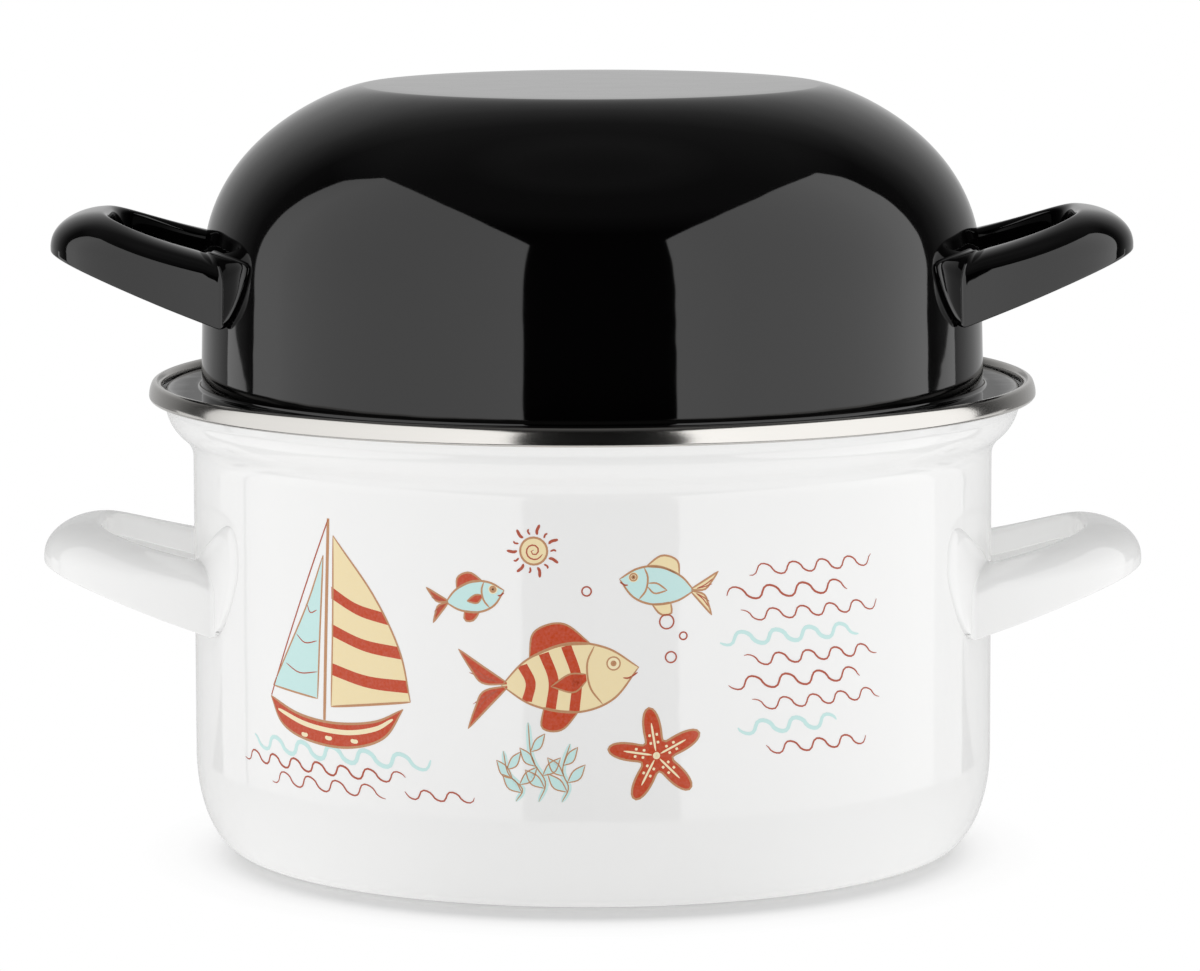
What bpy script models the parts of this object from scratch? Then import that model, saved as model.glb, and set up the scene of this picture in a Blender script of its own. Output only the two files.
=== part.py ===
"""Mussel pot in enamelled steel, with a deep lid that turns over into a bowl.

Metres, +Z up. The origin is the centre of the base on the table, and the handles lie on +X and -X.
Turned pieces are outlines in (radius, height) spun about Z. The outline gives the outer face, and the
inner face is the same line moved in by the sheet. All four handles are one pressing: an upside-down
channel bent into a loop, with a foot spread along the wall at each end.
"""

from math import acos, atan2, cos, hypot, pi, radians, sin, sqrt, tan

import bmesh
import bpy

# Pot
POT_RADIUS = 0.1000
POT_SHEET = 0.0013
BASE_CORNER_WIDTH = 0.0119
BASE_CORNER_HEIGHT = 0.0242
BASE_RING_WIDTH = 0.0120
BASE_RECESS = 0.0008
POT_HEIGHT = 0.1170
FLARE_BEND = 0.0065
FLARE_LEAN = radians(52)
NECK_BEND = 0.0115
NECK_LEAN = radians(16)
NECK_LENGTH = 0.0005
SEAT_BEND = 0.0030
SEAT_LEAN = radians(42)
SEAT_LENGTH = 0.00317
MOUTH_BEND = 0.0020
MOUTH_LIP = 0.00108

# Rim band, rolled over the pot's edge
BAND_SHEET = 0.0006
BAND_CLEARANCE = 0.0004
BAND_CURL = 0.0029
BAND_OUTER_DEPTH = 0.0046
BAND_INNER_DEPTH = 0.0018
BAND_TUCK = 0.0006

# Lid
LID_SHEET = 0.0012
LID_GAP = 0.00055
LID_REST_GAP = 0.0003
LID_LIP = 0.0026
LID_LIP_BEND = 0.0014
LID_FLANGE_WIDTH = 0.0092
LID_FLANGE_BEND = 0.0010
LID_WALL_HEIGHT = 0.0263
LID_WALL_DRAFT = 0.0006
LID_RISE = 0.0749
LID_TOP_RADIUS = 0.0570
DOME_ROUNDNESS = 1.35
DOME_FULLNESS = 2.42

# Handles
STRAP_SHEET = 0.0014
STRAP_REACH = 0.0378
STRAP_HALF_WIDTH = 0.0397
STRAP_ROOT = 0.0083
STRAP_SQUARENESS = 2.26
GAP_REACH = 0.0228
GAP_HALF_WIDTH = 0.0254
GAP_SQUARENESS = 3.09
STRAP_DEPTH = 0.01635
BOW_DEPTH = 0.01515
STRAP_WAIST = 0.0004
ARM_ROUND = 0.00565
BOW_ROUND = 0.0087
STRAP_BEND = 0.0020
STRAP_INNER_LEG = 0.0065
FOOT_GAP = 0.0003
FOOT_FOLD = 0.0016
FOOT_LENGTH = 0.0128
FOOT_DEPTH = 0.0168
FOOT_SLOPE = 0.10
FOOT_FULLNESS = 1.5
CUT_CLEARANCE = 0.0004
CUT_STEP = 0.0004

# Where the handles sit: lower edge at the wall above the table or the lid's flange, and upward slope
POT_LEFT_HANDLE_HEIGHT = 0.05965
POT_RIGHT_HANDLE_HEIGHT = 0.0586
POT_HANDLE_SLOPE = 0.332
LID_HANDLE_HEIGHT = 0.0198
LID_HANDLE_SLOPE = 0.372

# Fineness of the solids
ROUND_STEPS = 48
BEND_STEPS = 3
CURL_STEPS = 4
DOME_STEPS = 9
STRAP_STEPS = 9
LEG_STEPS = 3
CREST_STEPS = 4
FOOT_STEPS = 5


def clear_scene():
    for item in list(bpy.data.objects):
        bpy.data.objects.remove(item, do_unlink=True)


def make_material(name, colour, roughness, metallic):
    material = bpy.data.materials.new(name)
    material.use_nodes = True
    shader = material.node_tree.nodes["Principled BSDF"]
    shader.inputs["Base Color"].default_value = (*colour, 1.0)
    shader.inputs["Roughness"].default_value = roughness
    shader.inputs["Metallic"].default_value = metallic
    return material


def make_object(name, mesh, material):
    piece = bpy.data.objects.new(name, mesh)
    mesh.materials.append(material)
    bpy.context.collection.objects.link(piece)
    return piece


def ellipse(centre, size, start, end, steps):
    """Points of an elliptical arc from one angle to another; 0 points outward and 90 degrees up."""
    turn = [start + (end - start) * i / steps for i in range(steps + 1)]
    return [(centre[0] + size[0] * cos(a), centre[1] + size[1] * sin(a)) for a in turn]


def bend(start, lean_from, lean_to, radius, steps=BEND_STEPS):
    """A round bend that climbs from one lean to another; lean is the line's angle off vertical."""
    side = 1 if lean_to > lean_from else -1
    centre = (start[0] + side * radius * cos(lean_from), start[1] - side * radius * sin(lean_from))
    leans = [lean_from + (lean_to - lean_from) * i / steps for i in range(steps + 1)]
    return [(centre[0] - side * radius * cos(a), centre[1] + side * radius * sin(a)) for a in leans]


def moved_in(line, depth):
    """The same line moved to its left by a sheet's thickness, with mitred corners."""
    normals = []
    for (r0, z0), (r1, z1) in zip(line, line[1:]):
        length = hypot(r1 - r0, z1 - z0)
        normals.append(((z0 - z1) / length, (r1 - r0) / length))
    firsts = [normals[0]] + normals
    lasts = normals + [normals[-1]]
    shifted = []
    for (r, z), a, b in zip(line, firsts, lasts):
        scale = depth / (1 + a[0] * b[0] + a[1] * b[1])
        shifted.append((r + (a[0] + b[0]) * scale, z + (a[1] + b[1]) * scale))
    return shifted


def turned(name, outline, closed, material):
    """A turned piece: the outline runs down its outer side and is spun once about Z."""
    points = [(r, 0.0, z) for r, z in outline]
    edges = [(i, i + 1) for i in range(len(points) - 1)]
    if closed:
        edges.append((len(points) - 1, 0))
    mesh = bpy.data.meshes.new(name)
    mesh.from_pydata(points, edges, [])
    piece = make_object(name, mesh, material)
    screw = piece.modifiers.new("Spin", "SCREW")
    screw.axis = "Z"
    screw.steps = ROUND_STEPS
    screw.render_steps = ROUND_STEPS
    screw.use_merge_vertices = True
    screw.merge_threshold = 0.00001
    screw.use_smooth_shade = True
    return piece


def pot_shoulder():
    """The pot's outer face above the straight wall: flare, neck, sloping seat and upright lip.

    Its heights count from the top of the wall."""
    line = bend((POT_RADIUS, 0.0), 0, FLARE_LEAN, FLARE_BEND)
    line += bend(line[-1], FLARE_LEAN, NECK_LEAN, NECK_BEND)[1:]
    neck = (line[-1][0] + NECK_LENGTH * sin(NECK_LEAN), line[-1][1] + NECK_LENGTH * cos(NECK_LEAN))
    line += bend(neck, NECK_LEAN, SEAT_LEAN, SEAT_BEND)
    seat = (line[-1][0] + SEAT_LENGTH * sin(SEAT_LEAN), line[-1][1] + SEAT_LENGTH * cos(SEAT_LEAN))
    line += bend(seat, SEAT_LEAN, 0, MOUTH_BEND)
    line.append((line[-1][0], line[-1][1] + MOUTH_LIP))
    return line


def mouth_radius():
    return pot_shoulder()[-1][0]


def pot_outer_line():
    """The pot's outer face, from the middle of the base up to the mouth's edge."""
    ring_outer = POT_RADIUS - BASE_CORNER_WIDTH
    ring_inner = ring_outer - BASE_RING_WIDTH
    line = [(0.0, BASE_RECESS), (ring_inner - 2 * BASE_RECESS, BASE_RECESS), (ring_inner, 0.0)]
    corner = (BASE_CORNER_WIDTH, BASE_CORNER_HEIGHT)
    line += ellipse((ring_outer, BASE_CORNER_HEIGHT), corner, -pi / 2, 0, 2 * BEND_STEPS)
    shoulder = pot_shoulder()
    wall_height = POT_HEIGHT - POT_SHEET / 2 - shoulder[-1][1]
    return line + [(r, z + wall_height) for r, z in shoulder]


def seat_height_at(radius):
    """Height of the pot's sloping seat, on its inner face, at a radius."""
    line = pot_outer_line()
    foot = line[-2 - BEND_STEPS]
    return foot[1] + POT_SHEET * sin(SEAT_LEAN) + (
        radius - foot[0] + POT_SHEET * cos(SEAT_LEAN)) / tan(SEAT_LEAN)


def pot_body(material):
    outer = pot_outer_line()
    inner = moved_in(outer, POT_SHEET)
    inner[0] = (0.0, inner[0][1])
    edge = (outer[-1][0] - POT_SHEET / 2, outer[-1][1])
    rounding = ellipse(edge, (POT_SHEET / 2, POT_SHEET / 2), pi, 0, CURL_STEPS)
    return turned("pot_body", inner + rounding[1:-1] + outer[::-1], False, material)


def rim_band(material):
    """A folded strip that covers the mouth's edge: open below, with a long outer and a short inner side."""
    mouth = mouth_radius()
    outside = mouth + BAND_CLEARANCE + BAND_SHEET
    inside = mouth - POT_SHEET - BAND_CLEARANCE - BAND_SHEET
    top = POT_HEIGHT + BAND_CLEARANCE + BAND_SHEET
    middle = (outside + inside) / 2
    shoulder = top - BAND_CURL
    inner_shoulder = top - (middle - inside)
    line = [(outside - BAND_TUCK, top - BAND_OUTER_DEPTH)]
    line += ellipse((middle, shoulder), (outside - middle, BAND_CURL), 0, pi / 2, CURL_STEPS)
    line += ellipse((middle, inner_shoulder), (middle - inside, middle - inside), pi / 2, pi,
                    CURL_STEPS)[1:]
    line.append((inside, top - BAND_INNER_DEPTH))
    return turned("rim_band", moved_in(line, BAND_SHEET) + line[::-1], True, material)


def lid_flange_radius():
    return mouth_radius() - POT_SHEET - BAND_CLEARANCE - BAND_SHEET - LID_GAP


def lid_flange_top():
    """The lid's lip rests on the sloping seat, so the flange's height follows the seat."""
    slack = LID_REST_GAP / sin(SEAT_LEAN)
    return seat_height_at(lid_flange_radius()) + slack + LID_LIP


def dome_radius(turn):
    """Radius of the lid's outer face on its dome: turn is 0 at the flat top and 90 degrees at the wall."""
    wall = lid_flange_radius() - LID_FLANGE_WIDTH - LID_WALL_DRAFT
    return LID_TOP_RADIUS + (wall - LID_TOP_RADIUS) * sin(turn) ** (2 / DOME_ROUNDNESS)


def lid_wall_radius(height):
    """Radius of the lid's outer face at a height, over its wall and the foot of its dome."""
    climb = height - lid_flange_top()
    if climb < LID_WALL_HEIGHT:
        return lid_flange_radius() - LID_FLANGE_WIDTH - LID_WALL_DRAFT * climb / LID_WALL_HEIGHT
    share = (climb - LID_WALL_HEIGHT) / (LID_RISE - LID_WALL_HEIGHT)
    return dome_radius(acos(share ** (DOME_FULLNESS / 2)))


def lid_outer_line():
    """The lid's outer face, from the lip's lower edge up to the middle of the flat top."""
    flange_radius = lid_flange_radius()
    flange = lid_flange_top()
    radius = flange_radius - LID_FLANGE_WIDTH
    foot = flange + LID_WALL_HEIGHT
    top = flange + LID_RISE
    lip = (flange_radius - LID_LIP_BEND, flange - LID_LIP_BEND)
    line = [(flange_radius, flange - LID_LIP)]
    line += ellipse(lip, (LID_LIP_BEND, LID_LIP_BEND), 0, pi / 2, BEND_STEPS)
    corner = (radius + LID_FLANGE_BEND, flange + LID_FLANGE_BEND)
    line += ellipse(corner, (LID_FLANGE_BEND, LID_FLANGE_BEND), -pi / 2, -pi, BEND_STEPS)
    for i in range(DOME_STEPS + 1):
        turn = pi / 2 * (1 - i / DOME_STEPS)
        height = foot + (top - foot) * cos(turn) ** (2 / DOME_FULLNESS)
        line.append((dome_radius(turn), height))
    line.append((0.0, top))
    return line


def lid_shell(material):
    outer = lid_outer_line()
    inner = moved_in(outer, LID_SHEET)
    inner[-1] = (0.0, inner[-1][1])
    return turned("lid_shell", outer[::-1] + inner, False, material)


def loop_point(turn, root, reach, half_width, squareness):
    """A point of a loop seen from above, half a superellipse that starts at the wall."""
    along = abs(cos(turn)) ** (2 / squareness)
    across = abs(sin(turn)) ** (2 / squareness)
    return root + (reach - root) * along, half_width * across


def strap_sections(wall, height, slope):
    """Cross-sections of half the loop, from the bow's middle to the cut by the wall.

    Each is a list of points up the outer leg, over the crest and down the inner leg."""
    root = wall - STRAP_ROOT
    cut = sqrt((wall + CUT_CLEARANCE) ** 2 - GAP_HALF_WIDTH ** 2)
    share = (cut - root) / (wall + GAP_REACH - root)
    last_turn = pi / 2 - atan2(share ** (GAP_SQUARENESS / 2), sqrt(1 - share ** GAP_SQUARENESS))
    sections = []
    for i in range(STRAP_STEPS + 1):
        turn = last_turn * i / STRAP_STEPS
        outer = loop_point(turn, root, wall + STRAP_REACH, STRAP_HALF_WIDTH, STRAP_SQUARENESS)
        inner = loop_point(turn, root, wall + GAP_REACH, GAP_HALF_WIDTH, GAP_SQUARENESS)
        width = hypot(outer[0] - inner[0], outer[1] - inner[1])
        crest_share = 1 - STRAP_BEND / width
        crest_x = outer[0] + (inner[0] - outer[0]) * crest_share
        along = (crest_x - wall) / (GAP_REACH + STRAP_BEND)
        depth = STRAP_DEPTH + (BOW_DEPTH - STRAP_DEPTH) * along - 4 * STRAP_WAIST * along * (1 - along)
        crest = height + slope * (crest_x - wall) + depth
        round_height = ARM_ROUND + (BOW_ROUND - ARM_ROUND) * cos(turn) ** 2
        leg_top = crest - round_height
        leg_foot = height + slope * (outer[0] - wall)
        profile = [(0.0, leg_foot + (leg_top - leg_foot) * j / LEG_STEPS) for j in range(LEG_STEPS)]
        for j in range(CREST_STEPS + 1):
            a = pi / 2 * j / CREST_STEPS
            profile.append((crest_share * (1 - cos(a)), leg_top + round_height * sin(a)))
        for j in range(1, BEND_STEPS + 1):
            a = pi / 2 * j / BEND_STEPS
            profile.append((crest_share + (1 - crest_share) * sin(a), crest - STRAP_BEND * (1 - cos(a))))
        profile.append((1.0, crest - STRAP_BEND - STRAP_INNER_LEG))
        sections.append([(outer[0] + (inner[0] - outer[0]) * s, outer[1] + (inner[1] - outer[1]) * s, z)
                         for s, z in profile])
    return sections


def foot_sections(start, height, slope, wall_at):
    """Columns of points from the cut, round the fold and out along the wall to the foot's tip.

    start is the plan point where the outer leg meets the cut, and wall_at gives the wall's radius at
    a height."""
    face = FOOT_GAP + STRAP_SHEET

    def column(place, low, high):
        heights = [low + (high - low) * j / LEG_STEPS for j in range(LEG_STEPS + 1)]
        return [(*place(wall_at(z) + face), z) for z in heights]

    def fold_centre(radius):
        y = start[1] + FOOT_FOLD
        return sqrt((radius + FOOT_FOLD) ** 2 - y * y), y

    def fold_point(share):
        def place(radius):
            cx, cy = fold_centre(radius)
            first, last = -pi / 2, -pi + atan2(cy, cx)
            a = first + (last - first) * share
            return cx + FOOT_FOLD * cos(a), cy + FOOT_FOLD * sin(a)
        return place

    def wall_point(distance):
        def place(radius):
            cx, cy = fold_centre(radius)
            a = atan2(cy, cx) + distance / radius
            return radius * cos(a), radius * sin(a)
        return place

    low = height + slope * (start[0] - wall_at(height))
    top = low + FOOT_DEPTH
    leg_low = height + slope * (start[0] - CUT_STEP - wall_at(height))
    columns = [column(lambda radius: (start[0] - CUT_STEP, start[1]), leg_low, top)]
    for i in range(BEND_STEPS + 1):
        columns.append(column(fold_point(i / BEND_STEPS), low, top))
    for i in range(1, FOOT_STEPS + 1):
        share = sin(pi / 2 * i / (FOOT_STEPS + 0.5))
        fall = (1 - share ** FOOT_FULLNESS) ** (1 / FOOT_FULLNESS)
        high = top + FOOT_SLOPE * FOOT_LENGTH * share
        columns.append(column(wall_point(FOOT_LENGTH * share), high - FOOT_DEPTH * fall, high))
    return columns


def handle(name, side, height, slope, wall_at, material):
    """One pressed loop handle; side is 1 on +X and -1 on -X."""
    half = strap_sections(wall_at(height), height, slope)
    foot = foot_sections(half[-1][0][:2], height, slope, wall_at)
    half += foot
    columns = [[(x, -y, z) for x, y, z in column] for column in half[:0:-1]] + half
    work = bmesh.new()
    rows = [[work.verts.new((side * x, side * y, z)) for x, y, z in column] for column in columns]
    for left, right in zip(rows, rows[1:]):
        for j in range(min(len(left), len(right)) - 1):
            work.faces.new((left[j], right[j], right[j + 1], left[j + 1]))
    mesh = bpy.data.meshes.new(name)
    work.to_mesh(mesh)
    work.free()
    mesh.shade_smooth()
    mesh.set_sharp_from_angle(angle=radians(40))
    piece = make_object(name, mesh, material)
    sheet = piece.modifiers.new("Sheet", "SOLIDIFY")
    sheet.thickness = STRAP_SHEET
    sheet.offset = -1
    return piece


def build():
    clear_scene()
    white = make_material("white_enamel", (0.90, 0.90, 0.89), 0.12, 0.0)
    black = make_material("black_enamel", (0.012, 0.011, 0.011), 0.07, 0.0)
    steel = make_material("rim_steel", (0.62, 0.60, 0.57), 0.22, 1.0)

    def pot_wall_at(height):
        return POT_RADIUS

    lid_height = lid_flange_top() + LID_HANDLE_HEIGHT
    pot_body(white)
    rim_band(steel)
    handle("pot_handle_left", -1, POT_LEFT_HANDLE_HEIGHT, POT_HANDLE_SLOPE, pot_wall_at, white)
    handle("pot_handle_right", 1, POT_RIGHT_HANDLE_HEIGHT, POT_HANDLE_SLOPE, pot_wall_at, white)
    lid_shell(black)
    handle("lid_handle_left", -1, lid_height, LID_HANDLE_SLOPE, lid_wall_radius, black)
    handle("lid_handle_right", 1, lid_height, LID_HANDLE_SLOPE, lid_wall_radius, black)


build()
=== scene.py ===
"""Looks of the enamelled mussel pot: fine surfaces, enamel, steel and print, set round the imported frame.

Metres, +Z up, the printed front on -Y and the handles on +X and -X. Turned pieces are outlines in
(radius, height) spun about Z. The handles are open sheets, given their thickness by Solidify.
"""

from math import cos, pi, radians, sin, sqrt

import bpy
import numpy as np
from mathutils import Matrix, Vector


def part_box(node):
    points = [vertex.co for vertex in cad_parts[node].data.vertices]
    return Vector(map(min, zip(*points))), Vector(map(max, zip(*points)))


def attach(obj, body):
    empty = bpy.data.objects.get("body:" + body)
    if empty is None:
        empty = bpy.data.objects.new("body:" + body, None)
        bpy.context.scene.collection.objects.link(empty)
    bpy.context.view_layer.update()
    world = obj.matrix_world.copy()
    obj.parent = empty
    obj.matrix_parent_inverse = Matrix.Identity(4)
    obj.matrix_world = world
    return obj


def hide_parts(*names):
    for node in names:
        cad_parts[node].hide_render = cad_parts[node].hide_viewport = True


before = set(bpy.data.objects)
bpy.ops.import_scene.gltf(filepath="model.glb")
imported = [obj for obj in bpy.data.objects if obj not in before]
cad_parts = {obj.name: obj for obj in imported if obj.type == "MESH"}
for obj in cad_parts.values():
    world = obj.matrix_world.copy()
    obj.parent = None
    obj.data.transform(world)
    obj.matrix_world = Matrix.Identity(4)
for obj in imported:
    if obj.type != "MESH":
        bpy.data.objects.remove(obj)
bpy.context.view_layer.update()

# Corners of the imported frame's nodes
POT_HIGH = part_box("pot_body")[1]
BAND_LOW, BAND_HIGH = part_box("rim_band")
LID_LOW, LID_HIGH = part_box("lid_shell")

# Pot outline. A lean is the outline's angle off the vertical
POT_RADIUS = 0.1000
POT_SHEET = 0.0013
BASE_CORNER_WIDTH = 0.0119
BASE_CORNER_HEIGHT = 0.0242
BASE_RING_WIDTH = 0.0120
BASE_RECESS = 0.0008
BASE_STEP = 0.0030
FLARE_BEND = 0.0065
FLARE_LEAN = radians(52)
NECK_BEND = 0.0115
NECK_LEAN = radians(16)
NECK_LENGTH = 0.0005
SEAT_BEND = 0.0030
SEAT_LEAN = radians(42)
SEAT_LENGTH = 0.00317
MOUTH_BEND = 0.0020
MOUTH_LIP = 0.00108

# Rim band
BAND_SHEET = 0.0006
BAND_FOOT = 0.0009
BAND_FOOT_TURN = radians(65)
BAND_FACE = 0.0070
BAND_FACE_LEAN = radians(25)
BAND_INNER_DEPTH = 0.0018
BAND_WIDTH = 0.0033

# Lid outline
LID_SHEET = 0.0012
LID_LIP = 0.0026
LID_LIP_BEND = 0.0014
LID_FLANGE_WIDTH = 0.0092
LID_FLANGE_BEND = 0.0010
LID_WALL_HEIGHT = 0.0263
LID_WALL_DRAFT = 0.0006
LID_TOP_RADIUS = 0.0570
DOME_ROUNDNESS = 1.35
DOME_FULLNESS = 2.42
DOME_STEPS = 64
DOME_CROWDING = 1.25

# Handles. The loop's outer edge and its finger gap are half superellipses that start inside the wall
STRAP_SHEET = 0.0014
STRAP_REACH = 0.0378
STRAP_HALF_WIDTH = 0.0397
STRAP_ROOT = 0.0200
STRAP_SQUARENESS = 2.35
GAP_REACH = 0.0228
GAP_HALF_WIDTH = 0.0254
GAP_SQUARENESS = 3.8
STRAP_DEPTH = 0.01635
BOW_DEPTH = 0.01515
STRAP_WAIST = 0.0004
ARM_ROUND = 0.00565
BOW_ROUND = 0.0087
STRAP_BEND = 0.0020
STRAP_INNER_LEG = 0.0046
FOOT_SEAT = 0.00005
FOOT_FOLD = 0.0016
FOOT_LENGTH = 0.0120
FOOT_RISE = 0.0020
FOOT_CORNER = 0.88
FOOT_LIP = 0.0004
FOOT_LOW_FULLNESS = 1.4
FOOT_TOP_FULLNESS = 3.5
CREST_FOLD = 0.0007
COLLAR_CLEARANCE = 0.0034
COLLAR_ROUNDS = 5
POT_LEFT_HANDLE_HEIGHT = 0.05965
POT_RIGHT_HANDLE_HEIGHT = 0.0586
POT_HANDLE_SLOPE = 0.332
LID_HANDLE_HEIGHT = 0.0198
LID_HANDLE_SLOPE = 0.372

# Each foot's flap: the height of its widest place and of its top over the arm's lower edge, the width of
# its rounded edge, and the share of the sheet that stands out there; below 0 it dives into the wall
POT_FOOT = (0.0195, 0.0322, 0.0062, -0.10)
LID_FOOT = (0.0160, 0.0187, 0.0008, 0.05)

# A strap's rows, and its columns: shares of the outer leg, angles over the crest and down its inside, and
# shares of the inner leg
STRAP_ROWS = 45
LEG_SHARES = np.array([0, 0.05, 0.22, 0.42, 0.62, 0.82, 1])
OVER = np.linspace(0, pi / 2, 9)[1:]
DOWN = np.linspace(0, pi / 2, 5)[1:]
TAIL_SHARES = np.array([0.4, 0.8, 0.93, 1.0])

# How far the outer leg's lower columns turn in, and the rows from either end over which that fades in
LEG_TUCK = np.array([0.0006, 0.0001, 0, 0, 0, 0, 0])
TUCK_START = 3
TUCK_FADE = 6

# A collar's rows: shares of its straight run, then steps round its fold
RUN_SHARES = np.array([0.35, 0.7, 1])
FOLD_STEPS = 7

# A flap's rows: shares of its face and of its rounded edge, and how much of the sheet each one has
FLAP_SHARES = np.array([0.25, 0.5, 0.75])
FLAP_THICKNESS = np.array([0.96, 0.91, 0.85])
FLAP_RIM = 0.76
EDGE_SHARES = np.array([1, 0.62, 0.30, 0.08, 0])
EDGE_THICKNESS = np.array([1, 0.92, 0.67, 0.33, 0])
EDGE_THINNEST = 0.05
EDGE_MOST = 0.6

# Where a flap's edge begins on its superellipse, and how the crest's part of it is drawn down at the end
FLAP_CURVE_START = 0.06
CORNER_START = 0.3
CORNER_CURVE = 2.4

# Camera, fitted to the photograph's outlines
CAMERA_DISTANCE = 1.5788
CAMERA_HEIGHT = 0.2935
CAMERA_PITCH = 0.1280
CAMERA_YAW = -0.00117
CAMERA_ROLL = -0.0025
CAMERA_LENS = 190.05
CAMERA_NEAREST = 0.05
CAMERA_FARTHEST = 20

# Fineness
TURN_STEPS = 360
BEND_STEPS = 8
SMOOTH_LEVELS = 2
SAME_PLACE = 1e-7


def line(start, end, steps=1):
    """Points of a straight line, spread evenly."""
    return np.linspace(start, end, steps + 1)


def arc(centre, size, start, end, steps=BEND_STEPS):
    """Points of an elliptical arc from one angle to another; 0 points outward and 90 degrees up."""
    turn = np.linspace(start, end, steps + 1)
    return np.stack([centre[0] + size[0] * np.cos(turn), centre[1] + size[1] * np.sin(turn)], -1)


def round_way(count):
    """Directions spread evenly round a full turn, as unit vectors."""
    turn = np.linspace(0, 2 * pi, count, endpoint=False)
    return np.stack([np.cos(turn), np.sin(turn)], -1)


def bend(start, lean_from, lean_to, radius):
    """A round bend that climbs from one lean to another; lean is the line's angle off vertical."""
    side = 1 if lean_to > lean_from else -1
    centre = (start[0] + side * radius * cos(lean_from), start[1] - side * radius * sin(lean_from))
    lean = np.linspace(lean_from, lean_to, BEND_STEPS + 1)
    return np.stack([centre[0] - side * radius * np.cos(lean),
                     centre[1] + side * radius * np.sin(lean)], -1)


def onward(point, lean, length):
    """The place that lies some length on from a point along a lean."""
    return point + length * np.array([sin(lean), cos(lean)])


def steps_along(curve):
    """The distances from each point of a curve to the next."""
    return np.hypot(*np.diff(curve, axis=0).T)


def join(*stretches):
    """One outline from several, each next one starting where the last one ends."""
    whole = np.concatenate(stretches)
    return whole[np.concatenate([[True], steps_along(whole) > SAME_PLACE])]


def moved_in(outline, depth):
    """The same outline moved to its left along its normals by a sheet's thickness."""
    step = np.diff(outline, axis=0)
    normal = np.stack([-step[:, 1], step[:, 0]], -1) / np.hypot(*step.T)[:, None]
    first = np.concatenate([normal[:1], normal])
    last = np.concatenate([normal, normal[-1:]])
    mitre = 1 + (first * last).sum(1, keepdims=True)
    return outline + (first + last) * depth / mitre


def smooth_mesh(name, points, faces):
    """A mesh that shades smoothly, from a list of places and a list of faces."""
    mesh = bpy.data.meshes.new(name)
    mesh.from_pydata(points, [], faces)
    mesh.shade_smooth()
    return mesh


def make_mesh(name, points, faces):
    """A smooth mesh from vertices and a list of face index arrays, turned so that its faces point out."""
    points = points.reshape(-1, 3)
    corners = [tri for block in faces for tri in triangles(block)]
    a, b, c = (points[np.concatenate([t[:, k] for t in corners])] for k in range(3))
    inside_out = (a * np.cross(b, c)).sum() < 0
    if inside_out:
        faces = [block[:, ::-1] for block in faces]
    return smooth_mesh(name, points.tolist(), [face for block in faces for face in block.tolist()])


def triangles(block):
    """The triangles of a block of faces that all have three or all have four corners."""
    if block.shape[1] == 3:
        return [block]
    return [block[:, (0, 1, 2)], block[:, (0, 2, 3)]]


def grid_faces(rows, columns, start=0, wrap_rows=False, wrap_columns=False):
    """The quads of a grid of vertices that is numbered row by row, from a first number."""
    i, j = np.meshgrid(np.arange(rows if wrap_rows else rows - 1),
                       np.arange(columns if wrap_columns else columns - 1), indexing="ij")
    k, m = (i + 1) % rows, (j + 1) % columns
    corners = [i * columns + j, i * columns + m, k * columns + m, k * columns + j]
    return start + np.stack(corners, -1).reshape(-1, 4)


def add_object(name, data):
    """A new object in the scene, at the origin, for a mesh or for a camera's settings."""
    made = bpy.data.objects.new(name, data)
    bpy.context.scene.collection.objects.link(made)
    return made


def make_piece(name, mesh, finish, body, node=None):
    """An object at the origin that rides on a body, wears a finish and may stand for a node."""
    mesh.materials.append(finish)
    piece = add_object(name, mesh)
    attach(piece, body)
    if node:
        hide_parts(node)
    return piece


def turned_points(outline):
    """A grid of points, one row for each direction round Z and one column for each outline point."""
    radius, height = outline.T
    plan = round_way(TURN_STEPS)[:, None] * radius[:, None]
    rise = np.broadcast_to(height[:, None], (TURN_STEPS, len(height), 1))
    return np.concatenate([plan, rise], -1)


def turned_shell(name, outline):
    """A turned mesh whose outline starts and ends on the axis, with a fan of triangles at each pole."""
    ring = turned_points(outline[1:-1])
    poles = np.array([[0, 0, outline[0, 1]], [0, 0, outline[-1, 1]]])
    count = len(outline) - 2
    here = np.arange(TURN_STEPS) * count
    there = np.roll(here, -1)
    first, last = np.full(TURN_STEPS, ring[..., 0].size), np.full(TURN_STEPS, ring[..., 0].size + 1)
    fans = [np.stack([first, here, there], -1),
            np.stack([last, there + count - 1, here + count - 1], -1)]
    faces = [grid_faces(TURN_STEPS, count, wrap_rows=True)] + fans
    return make_mesh(name, np.concatenate([ring.reshape(-1, 3), poles]), faces)


def turned_ring(name, outline):
    """A turned mesh whose outline is a closed loop away from the axis."""
    return make_mesh(name, turned_points(outline),
                     [grid_faces(TURN_STEPS, len(outline), wrap_rows=True, wrap_columns=True)])


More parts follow.
